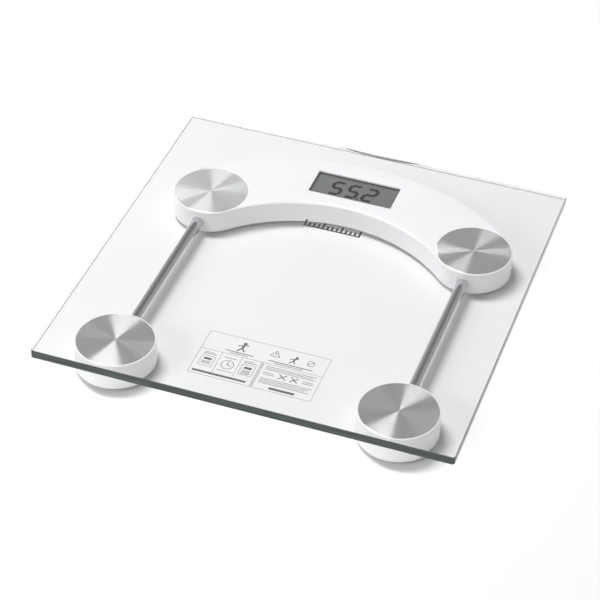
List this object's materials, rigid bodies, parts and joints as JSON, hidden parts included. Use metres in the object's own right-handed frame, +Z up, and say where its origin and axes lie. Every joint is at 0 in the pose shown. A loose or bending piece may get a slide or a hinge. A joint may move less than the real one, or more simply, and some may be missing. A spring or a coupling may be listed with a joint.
{
  "type": "glass platform scale",
  "caption": "Clear square glass platform on round sprung feet, with a bent display arch and slim tubes under the glass.",
  "frame": {"origin": "on the floor, under the middle of the glass", "axes": "+X to the user's right, +Y from the user towards the display, +Z up"},
  "size_m": [0.28, 0.28, 0.025],
  "materials": {
    "platform_glass": "clear, polished edges with a green cast",
    "grey_ink": "screen print under the glass",
    "black_ink": "screen print under the glass",
    "spun_aluminium": "circular spun brushing",
    "adhesive_tape": "double-sided acrylic tape",
    "white_gloss_plastic": "moulded, smooth gloss",
    "white_cover_plastic": "moulded, fine satin",
    "zinc_steel": "zinc plated",
    "chrome_tube": "polished chrome plate",
    "load_cell_steel": "stamped, nickel plated",
    "gauge_sealant": "white silicone dab",
    "foot_plastic": "moulded satin",
    "foot_rubber": "dark grey anti-slip rubber",
    "lead_insulation": "three fine wires in one sleeve",
    "lcd_glass": "reflective grey display",
    "zebra_rubber": "layered elastomer strip",
    "board_laminate": "green solder mask",
    "epoxy_blob": "black epoxy",
    "small_parts": "tinned ceramic chips",
    "black_switch_plastic": "moulded",
    "button_plastic": "grey, fine grain",
    "coin_cell_steel": "nickel plated can",
    "contact_bronze": "spring bronze"
  },
  "bodies": {
    "platform": {"glass_platform": "platform_glass", "instruction_print": "grey_ink", "tick_mark_print": "black_ink", "disc_front_left": "spun_aluminium", "disc_front_right": "spun_aluminium", "disc_rear_left": "spun_aluminium", "disc_rear_right": "spun_aluminium", "disc_tape_front_left": "adhesive_tape", "disc_tape_front_right": "adhesive_tape", "disc_tape_rear_left": "adhesive_tape", "disc_tape_rear_right": "adhesive_tape", "arch_upper_shell": "white_gloss_plastic", "arch_bottom_cover": "white_cover_plastic", "cover_screws": "zinc_steel", "front_left_housing": "white_gloss_plastic", "front_right_housing": "white_gloss_plastic", "tube_left": "chrome_tube", "tube_right": "chrome_tube", "load_cell_front_left": "load_cell_steel", "load_cell_front_right": "load_cell_steel", "load_cell_rear_left": "load_cell_steel", "load_cell_rear_right": "load_cell_steel", "strain_gauges": "gauge_sealant", "sensor_lead_front_left": "lead_insulation", "sensor_lead_front_right": "lead_insulation", "sensor_lead_rear_left": "lead_insulation", "sensor_lead_rear_right": "lead_insulation", "lcd_panel": "lcd_glass", "lcd_frame": "white_cover_plastic", "zebra_strip": "zebra_rubber", "circuit_board": "board_laminate", "board_screws": "zinc_steel", "processor_blob": "epoxy_blob", "board_components": "small_parts", "tact_switch": "black_switch_plastic", "coin_cell": "coin_cell_steel", "battery_contact_negative": "contact_bronze", "battery_contact_positive": "contact_bronze"},
    "foot_front_left": {"foot_cup_front_left": "foot_plastic", "rubber_pad_front_left": "foot_rubber"},
    "foot_front_right": {"foot_cup_front_right": "foot_plastic", "rubber_pad_front_right": "foot_rubber"},
    "foot_rear_left": {"foot_cup_rear_left": "foot_plastic", "rubber_pad_rear_left": "foot_rubber"},
    "foot_rear_right": {"foot_cup_rear_right": "foot_plastic", "rubber_pad_rear_right": "foot_rubber"},
    "unit_key": {"unit_button": "button_plastic", "switch_plunger": "black_switch_plastic"},
    "battery_hatch": {"battery_door": "white_cover_plastic"}
  },
  "joints": [
    {"name": "foot_front_left_press", "type": "slide", "parent": "platform", "child": "foot_front_left", "axis": [0, 0, 1], "range_m": [0, 0.0004], "stiffness_N_per_m": 2500, "springref_m": -0.003},
    {"name": "foot_front_right_press", "type": "slide", "parent": "platform", "child": "foot_front_right", "axis": [0, 0, 1], "range_m": [0, 0.0004], "stiffness_N_per_m": 2500, "springref_m": -0.003},
    {"name": "foot_rear_left_press", "type": "slide", "parent": "platform", "child": "foot_rear_left", "axis": [0, 0, 1], "range_m": [0, 0.0004], "stiffness_N_per_m": 2500, "springref_m": -0.003},
    {"name": "foot_rear_right_press", "type": "slide", "parent": "platform", "child": "foot_rear_right", "axis": [0, 0, 1], "range_m": [0, 0.0004], "stiffness_N_per_m": 2500, "springref_m": -0.003},
    {"name": "unit_button_press", "type": "slide", "parent": "platform", "child": "unit_key", "axis": [0, 0, 1], "range_m": [0, 0.0005], "stiffness_N_per_m": 60, "springref_m": -0.012},
    {"name": "battery_door_open", "type": "hinge", "parent": "platform", "child": "battery_hatch", "pos_m": [0.014, 0.114, 0.003], "axis": [1, 0, 0], "range_deg": [0, 80]}
  ]
}
